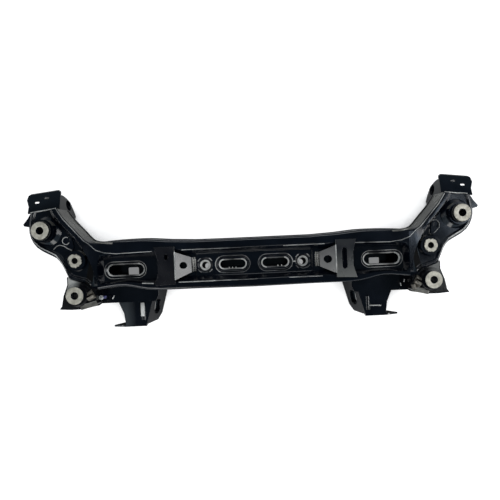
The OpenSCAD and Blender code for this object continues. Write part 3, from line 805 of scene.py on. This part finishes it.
for name, points, radius, finish in (
        ("left_ring_line", arc((-444, 46, 108.2), 8.5, 60, 330), 1.1, lip_highlight_paint),
        ("left_pad_line", [(-475, 27.4, 105.4), (-467.7, 34.5, 105.6), (-460, 36.6, 105.8),
                           (-449, 33.7, 108.2), (-440, 27.1, 108.2), (-430.6, 23.1, 108.2)], 1.2, lip_highlight_paint),
        ("right_hook_line", [(430, 57, 108.4), (441, 58.3, 108.2), (448.3, 50.5, 108.2),
                             (447.3, 39.8, 108.2), (438.7, 30.3, 108.2), (428.6, 23.4, 105.6),
                             (423, 27.3, 105.4), (424.3, 36, 105.4)], 1.3, lip_highlight_paint),
        ("left_front_lip", [(-527, 116.6, 102.6), (-495.6, 120.6, 102.8), (-463, 123.5, 113)],
         1.8, bright_highlight),
        ("right_front_lip", [(522, 119, 102.4), (494.5, 121, 102.8), (463, 123.5, 113)], 1.3, lip_highlight_paint),
        ("front_line_left", [(-169, 12.5, 124.2), (-40, 12.5, 124.2), (-30, 12.5, 122.8)], 0.9, lip_highlight_paint),
        ("front_line_right", [(70, 12.5, 122.8), (84, 12.5, 124.1), (168, 12.5, 124.2)], 1.0, lip_highlight_paint),
        ("rear_line_left", [(-178, -62.8, 124.9), (-100, -63, 124.9), (-88, -63, 123.6)], 1.3, bright_highlight),
        ("rear_line_middle", [(-92, -63, 124.8), (0, -63, 124.8), (10, -63, 123.6)], 0.9, lip_highlight_paint),
        ("rear_line_right", [(78, -63, 123.6), (90, -63, 124.9), (160, -63, 124.9)], 1.0, lip_highlight_paint),
        ("right_dish_glint", [(92.5, -26.2, 106.8), (99, -26.2, 106.8)], 1.5, bright_highlight),
        ("left_rear_edge_line", [(-264, -61.8, 124), (-237, -63, 124.4)], 1.5, bright_highlight),
        ("left_fold_line", [(-185.2, 9, 129), (-185.2, -57, 129)], 1.2, bright_highlight),
        ("right_fold_line", [(193, 9, 129), (193, -57, 129)], 1.3, bright_highlight)):
    made = raised_line(name, points, radius, finish)
    print(name, len(made.data.polygons), "faces")

# %% [markdown]
# The lines along the arms' creases, the mounts' rims and the dishes round the openings come in pairs. Apart
# from the mounts' gloss black rims they wear pale paint: a painted highlight, and on the flange at each arm's
# corner a painted reflection. Each is laid on the right and mirrored. A dish's edge runs along two half
# circles and the straights between them.


# %% Lines in pairs
def oblong(centre, straight, radius):
    """Points round a slot, in mm."""
    x, y, z = centre
    return arc((x + straight / 2, y, z), radius, -90, 90) + arc((x - straight / 2, y, z), radius, 90, 270)


SLOT_DISH_R = 20.4
ROUND_DISH_R = 19.2
END_DISH_R = 20

pairs = [
    ("ridge_line", [(459, 119.5, 118.4), (444.6, 96.5, 118.4), (426.8, 76, 118.5), (408.6, 55.3, 119.2),
                    (397, 43, 120.5), (386, 36, 122.6), (369, 20.4, 124.8), (350, 13.5, 124.8),
                    (322, 10.2, 124.4), (276, 11.2, 124.4), (238, 12, 124.4)], 1.0, lip_highlight_paint),
    ("outer_line", [(518.3, 46.4, 108.7), (504.4, 32.3, 108.9), (487.8, 23.3, 108.9), (469.2, 12.7, 108.9),
                    (458, -3, 108.4), (447, -24, 108.2)], 1.3, bright_highlight),
    ("corner_flange", [(376, 40, 115), (366, 38.4, 120), (354, 37, 122.8), (332, 35.3, 123.2),
                       (322, 34.8, 120.6)], 2.8, wall_reflection_paint),
    ("mount_rim", [(444.6, -42, 107.4), (444.6, -59.2, 107.4), (454.6, -85.2, 107.4), (459.2, -109.2, 107.4),
                   (463.6, -115, 107.4), (438, -116.8, 107.4)], 1.4, gloss_black),
    ("slot_dish_line", oblong((SLOT_X, SLOT_Y, 106.7), SLOT_STRAIGHT, SLOT_DISH_R), 0.9, dim_highlight),
    ("slot_dish_end", arc((SLOT_X + SLOT_STRAIGHT / 2, SLOT_Y, 106.8), SLOT_DISH_R, -62, 62), 1.0, lip_highlight_paint),
    ("end_dish_line", oblong((END_X, END_Y, 102.7), END_STRAIGHT, END_DISH_R), 0.9, lip_highlight_paint)]
for k in range(4):
    corner = arc((ROUND_X, SLOT_Y, 106.8), ROUND_DISH_R, 90 * k + 30, 90 * k + 60, 8)
    pairs.append((f"round_corner_{k}", corner, 1.2, lip_highlight_paint))
for name, points, radius, finish in pairs:
    made = raised_line("right_" + name, points, radius, finish, "dish_line" in name)
    mirrored(made, "left_" + name)
    print(name, len(made.data.polygons), "faces each")

# %% [markdown]
# ## Clips and small fittings at the rear mounts
#
# A folded clip holds a line beside each rear mount. It starts as a small block that is subdivided along its
# length and curled with a Simple Deform modifier, and so does the thin flap behind it. The flap's grey is a
# painted reflection, standing for light mirrored in the mount's top.


# %% Plated and plastic finishes
def plain_finish(name, dark, light, rough, metallic, scale=160):
    """A finish that changes between two colours in fine spots."""
    made, tree, shader = new_finish(name)
    spots = noise(tree, object_place(tree), scale, 4)
    colour = colour_mix(tree, ramp(tree, spots, *SPOT_SPAN, 0, 1), dark, light)
    tree.links.new(colour, shader.inputs["Base Color"])
    tree.links.new(ramp(tree, spots, *PATCH_TO_GLOSS, *rough), shader.inputs["Roughness"])
    shader.inputs["Metallic"].default_value = metallic
    return made


clip_brown = plain_finish("clip_brown", (0.06, 0.055, 0.045), (0.2, 0.18, 0.15), (0.35, 0.5), 0.3)
zinc = plain_finish("zinc", (0.5, 0.5, 0.48), (0.85, 0.85, 0.82), (0.3, 0.45), 0.3)
violet = plain_finish("violet_plug", (0.04, 0.04, 0.12), (0.1, 0.1, 0.26), (0.3, 0.4), 0.0)
# Painted reflection: a plain grey for the flap, standing for light mirrored there.
reflection_grey = plain_finish("flap_reflection_grey", (0.07, 0.068, 0.06), (0.16, 0.155, 0.135), (0.3, 0.42), 0.0, 60)


# %% Clips and flaps
CURL_CUTS = 9
SMALL_STEPS = 3
SMALL_DEG = 40


def block(name, size, cuts):
    """A subdivided block to shape further, in mm."""
    bpy.ops.object.select_all(action="DESELECT")
    bpy.ops.mesh.primitive_cube_add(size=1, location=(0, 0, 0))
    piece = bpy.context.object
    piece.name = name
    edit_all(piece)
    bpy.ops.transform.resize(value=[s * MM for s in size])
    bpy.ops.mesh.subdivide(number_cuts=cuts)
    object_mode()
    return piece


def finished(piece, material, slot, place, turn, width, *nodes):
    """Rounds a small piece, gives it its finish and puts it in place."""
    round_edges(piece, width, SMALL_STEPS, SMALL_DEG)
    apply_all(piece)
    smooth(piece, SMALL_DEG)
    piece.data.materials.append(material)
    piece.rotation_euler = [math.radians(a) for a in turn]
    piece.location = [v * MM for v in place]
    settle(piece, slot, *nodes)
    return piece


def curled(name, size, angle, axis):
    """A strip curled about one axis, in mm and degrees."""
    piece = block(name, size, CURL_CUTS)
    bend = piece.modifiers.new("curl", "SIMPLE_DEFORM")
    bend.deform_method = "BEND"
    bend.deform_axis = axis
    bend.angle = math.radians(angle)
    apply_all(piece)
    return piece


clip = curled("right_clip", (22, 17, 2), 150, "Y")
finished(clip, clip_brown, "clip_grey", (391, -86, 108), (0, 0, 62), 0.6, "right_line_clip")
mirrored(clip, "left_clip", "clip_grey", ("left_line_clip",))
flap = curled("right_flap", (40, 12, 1.6), 30, "X")
finished(flap, reflection_grey, "black_paint", (396, -109, 110), (16, 0, -14), 0.5)
mirrored(flap, "left_flap")
print("clip and flap", len(clip.data.polygons), len(flap.data.polygons), "faces")

# %% [markdown]
# The nut starts as a six sided cylinder: its top is inset and pushed down for the bore. The plug, the studs,
# and the bar and strip on the rear brackets start as blocks whose upper faces are drawn in, as a moulded or
# pressed piece has sloping sides. The small teeth on the middle slots' lips are one such block, copied along.
# The lump beside the right mount is curled as the clips are.


# %% Nut, plug, studs and bars
NUT_R = 6 * MM
NUT_HEIGHT = 6 * MM
NUT_RIM = 2.4 * MM
NUT_BORE_DEPTH = 4 * MM


def top_faces(piece):
    """Selects the faces that look up from a piece's upper half, and stays in edit mode."""
    pick(piece, "FACE", [face.normal.z > 0.9 and face.center.z > 0 for face in piece.data.polygons])


def drawn_in(name, size, cuts, share):
    """A block whose upper face is smaller than its foot by a share."""
    piece = block(name, size, cuts)
    top_faces(piece)
    bpy.ops.transform.resize(value=(share, share, 1))
    object_mode()
    return piece


bpy.ops.object.select_all(action="DESELECT")
bpy.ops.mesh.primitive_cylinder_add(vertices=6, radius=NUT_R, depth=NUT_HEIGHT)
nut = bpy.context.object
nut.name = "left_nut"
top_faces(nut)
bpy.ops.mesh.inset(thickness=NUT_RIM)
bpy.ops.mesh.extrude_region_move(TRANSFORM_OT_translate={"value": (0, 0, -NUT_BORE_DEPTH)})
object_mode()
finished(nut, zinc, "clip_grey", (-374, -94, 88), (0, 0, 12), 0.5)
# The bar and strip on the rear brackets wear the bright highlight paint, a painted highlight for the light on
# their bends.
for name, size, cuts, share, finish, slot, place, turn, width in (
        ("left_plug", (8, 7, 5), 2, 0.7, violet, "clip_grey", (-366, -93.5, 86), 8, 0.9),
        ("left_bar", (9, 34, 3.4), 3, 0.84, bright_highlight, "black_paint", (-282.5, -131, 60.6), 0, 0.9),
        ("right_strip", (33, 2.8, 2.4), 3, 0.9, bright_highlight, "black_paint", (298, -147.5, 58.8), -2, 0.5),
        ("left_stud", (2.6, 10, 3), 1, 0.75, zinc, "clip_grey", (-352, -97, 66), -32, 0.5),
        ("right_stud_0", (2.2, 9, 3), 1, 0.75, zinc, "clip_grey", (364, -97, 65), 8, 0.5),
        ("right_stud_1", (2.2, 8, 3), 1, 0.75, zinc, "clip_grey", (373, -88, 65), -14, 0.5),
        ("right_tooth_0", (1.7, 3.6, 2.4), 1, 0.7, zinc, "clip_grey", (57, -34.9, 100.6), 0, 0.3)):
    made = finished(drawn_in(name, size, cuts, share), finish, slot, place, (0, 0, turn), width)
    print(name, len(made.data.polygons), "faces")
tooth = bpy.data.objects["right_tooth_0"]
for name, step in (("right_tooth_1", 9), ("left_tooth_0", -117), ("left_tooth_1", -109),
                   ("left_tooth_2", -101)):
    copy = copied(tooth, name)
    copy.location.x = step * MM
    settle(copy, "clip_grey")
lump = curled("right_lump", (18, 12, 4), 110, "Y")
finished(lump, clip_brown, "clip_grey", (384, -98, 108.5), (0, 10, 20), 1)
print("nut and lump", len(nut.data.polygons), len(lump.data.polygons), "faces")

# %% [markdown]
# ## Floor and light
#
# The floor is plain and white, and its glow for the camera and for mirrored rays stands for a bright
# backdrop. Ambient occlusion takes the glow away where the part closes the floor in, so that holes and
# brackets stay dark inside.

# %% Floor
FLOOR_SIZE_M = 12
FLOOR_Z = -0.5 * MM
FLOOR_GREY = (0.35, 0.35, 0.35, 1)
CLOSED_WITHIN_M = 0.3
SEEN_GLOW = (0.36, 0.5, 0.22, 0.95)
MIRRORED_GLOW = (0.3, 1, 0.02, 0.4)

bpy.ops.object.select_all(action="DESELECT")
bpy.ops.mesh.primitive_plane_add(size=FLOOR_SIZE_M, location=(0, 0, FLOOR_Z))
floor = bpy.context.object
floor.name = "studio_floor"
floor_paint, tree, shader = new_finish("floor_white")
shader.inputs["Base Color"].default_value = FLOOR_GREY
shader.inputs["Roughness"].default_value = 0.9
shader.inputs["Specular IOR Level"].default_value = 0.0
shader.inputs["Emission Color"].default_value = (1, 1, 1, 1)
closed = add_node(tree, "ShaderNodeAmbientOcclusion", Distance=CLOSED_WITHIN_M)
closed.samples = 16
paths = tree.nodes.new("ShaderNodeLightPath")
seen = combine(tree, "MULTIPLY", paths.outputs["Is Camera Ray"],
               ramp(tree, closed.outputs["AO"], *SEEN_GLOW))
bounced = combine(tree, "MAXIMUM", paths.outputs["Is Glossy Ray"], paths.outputs["Is Transmission Ray"])
reflected = combine(tree, "MULTIPLY", bounced, ramp(tree, closed.outputs["AO"], *MIRRORED_GLOW))
tree.links.new(combine(tree, "MAXIMUM", seen, reflected), shader.inputs["Emission Strength"])
floor.data.materials.append(floor_paint)
print("floor:", len(tree.nodes), "nodes")

# %% [markdown]
# The paint shows what stands around it more than its own colour. A dim bluish sky, brightest near the horizon
# behind the part, tints the black, and the camera itself sees plain white instead. Six soft panels stand in
# it: one on the right and one further off on the left, both mirrored by the saddles' tongues, a low one
# behind, a larger one behind on the left, a wide one in front, and a narrow blue one like a window.

# %% World
SKY_TINT = (0.62, 0.84, 1, 1)
SKY_BY_HEIGHT = (0.3, 0.62, 1, 0)
SKY_BY_DEPTH = (-0.8, 0.8, 0.5, 0.15)
SKY_LEAST = 0.08
BACKDROP = 0.95

world = bpy.data.worlds.new("studio")
bpy.context.scene.world = world
world.use_nodes = True
sky = world.node_tree
light = sky.nodes["Background"]
light.inputs["Color"].default_value = SKY_TINT
way = sky.nodes.new("ShaderNodeSeparateXYZ")
sky.links.new(sky.nodes.new("ShaderNodeTexCoord").outputs["Generated"], way.inputs[0])
level = combine(sky, "MULTIPLY_ADD", ramp(sky, way.outputs["Z"], *SKY_BY_HEIGHT),
                ramp(sky, way.outputs["Y"], *SKY_BY_DEPTH), SKY_LEAST)
sky.links.new(level, light.inputs["Strength"])
backdrop = add_node(sky, "ShaderNodeBackground", Color=(1, 1, 1, 1), Strength=BACKDROP)
choice = sky.nodes.new("ShaderNodeMixShader")
sky.links.new(sky.nodes.new("ShaderNodeLightPath").outputs["Is Camera Ray"], choice.inputs[0])
sky.links.new(light.outputs[0], choice.inputs[1])
sky.links.new(backdrop.outputs[0], choice.inputs[2])
sky.links.new(choice.outputs[0], sky.nodes["World Output"].inputs["Surface"])
print("sky:", len(sky.nodes), "nodes")


# %% Panels
AIM = Vector((0, 0, 0.1))


def panel(name, place, size, watts, tint):
    """A soft panel that faces the part, in metres."""
    data = bpy.data.lights.new(name, "AREA")
    data.shape = "RECTANGLE"
    data.size, data.size_y = size
    data.energy = watts
    data.color = tint
    lamp = bpy.data.objects.new(name, data)
    bpy.context.scene.collection.objects.link(lamp)
    lamp.location = place
    lamp.rotation_euler = (AIM - Vector(place)).to_track_quat("-Z", "Y").to_euler()
    print(name, "at", place)


panel("right_panel", (1.83, -0.1, 1.57), (1.4, 0.65), 27, (1, 1, 1))
panel("left_panel", (-3.83, -0.1, 3.0), (2.0, 0.8), 32, (1, 1, 1))
panel("rear_panel", (0, -2.2, 0.8), (0.9, 0.6), 7, (1, 0.98, 0.94))
panel("rear_left_panel", (-0.95, -1.4, 1.7), (1.0, 0.9), 13, (1, 1, 1))
panel("front_panel", (0.0, 1.35, 1.75), (2.0, 0.6), 16, (0.92, 0.96, 1))
panel("window_panel", (1.514, 0.158, 1.768), (0.15, 0.5), 0.9, (0.65, 0.8, 1))
